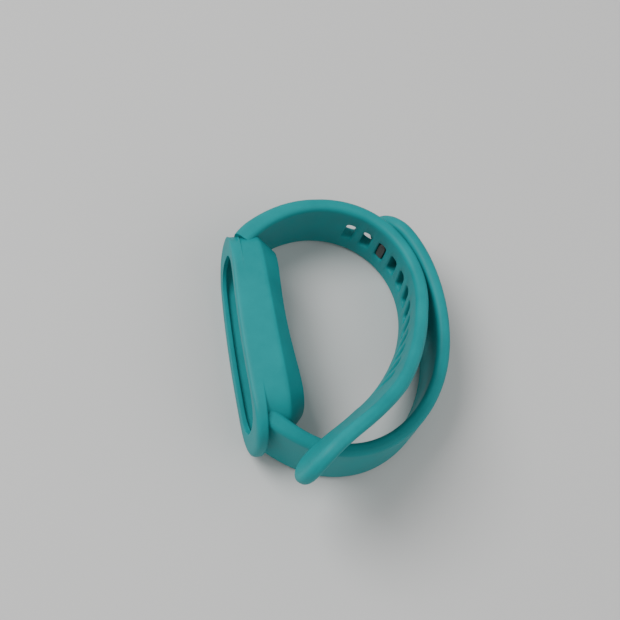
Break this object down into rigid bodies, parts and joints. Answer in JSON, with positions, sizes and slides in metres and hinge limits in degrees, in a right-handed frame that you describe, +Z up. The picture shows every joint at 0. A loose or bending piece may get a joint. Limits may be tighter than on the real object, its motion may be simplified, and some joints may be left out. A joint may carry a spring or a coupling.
{
  "type": "fitness tracker band",
  "caption": "Teal silicone wrist band for a clip-in activity tracker: an empty oval holder, a holed strap and a stud strap, snapped shut, with a loose tail",
  "frame": {"origin": "middle of the holder's flat lower side wall, which the band stands on", "axes": "+X from the holder's window towards the wrist, +Y along the holder towards the holed strap, +Z up and across the band's width"},
  "size_m": [0.0476, 0.0678, 0.0363],
  "materials": {
    "band_silicone": "matte",
    "stud_plastic": "matte"
  },
  "bodies": {
    "moulding": {"tracker_holder": "band_silicone", "holed_strap": "band_silicone", "stud_strap_root": "band_silicone"},
    "tail": {"holed_strap_tail": "band_silicone"},
    "tail_tip": {"holed_strap_tip": "band_silicone"},
    "stud_arm": {"stud_strap_arm": "band_silicone"},
    "stud_end": {"stud_strap_end": "band_silicone", "stud_post": "stud_plastic", "stud_cap": "stud_plastic"}
  },
  "joints": [
    {"name": "tail_swing", "type": "hinge", "parent": "moulding", "child": "tail", "pos_m": [0.0363, 0.00055, 0.01219], "axis": [0.113, 0.3053, 0.9455], "range_deg": [-5, 4], "stiffness_Nm_per_rad": 0.02},
    {"name": "tip_swing", "type": "hinge", "parent": "tail", "child": "tail_tip", "pos_m": [0.0193, -0.02232, 0.02539], "axis": [0.3849, 0.0407, 0.922], "range_deg": [-8, 20], "stiffness_Nm_per_rad": 0.02},
    {"name": "stud_strap_curl", "type": "hinge", "parent": "moulding", "child": "stud_arm", "pos_m": [0.03925, -0.01506, 0.00873], "axis": [0, 0, -1], "range_deg": [0, 8.4], "stiffness_Nm_per_rad": 0.02},
    {"name": "closure_peel", "type": "hinge", "parent": "stud_arm", "child": "stud_end", "pos_m": [0.04288, 0.01152, 0.00873], "axis": [0, 0, -1], "range_deg": [0, 70], "stiffness_Nm_per_rad": 0.02}
  ],
  "couplings": [
    {"joint": "stud_strap_curl", "follows": "closure_peel", "ratio": 0.12}
  ]
}
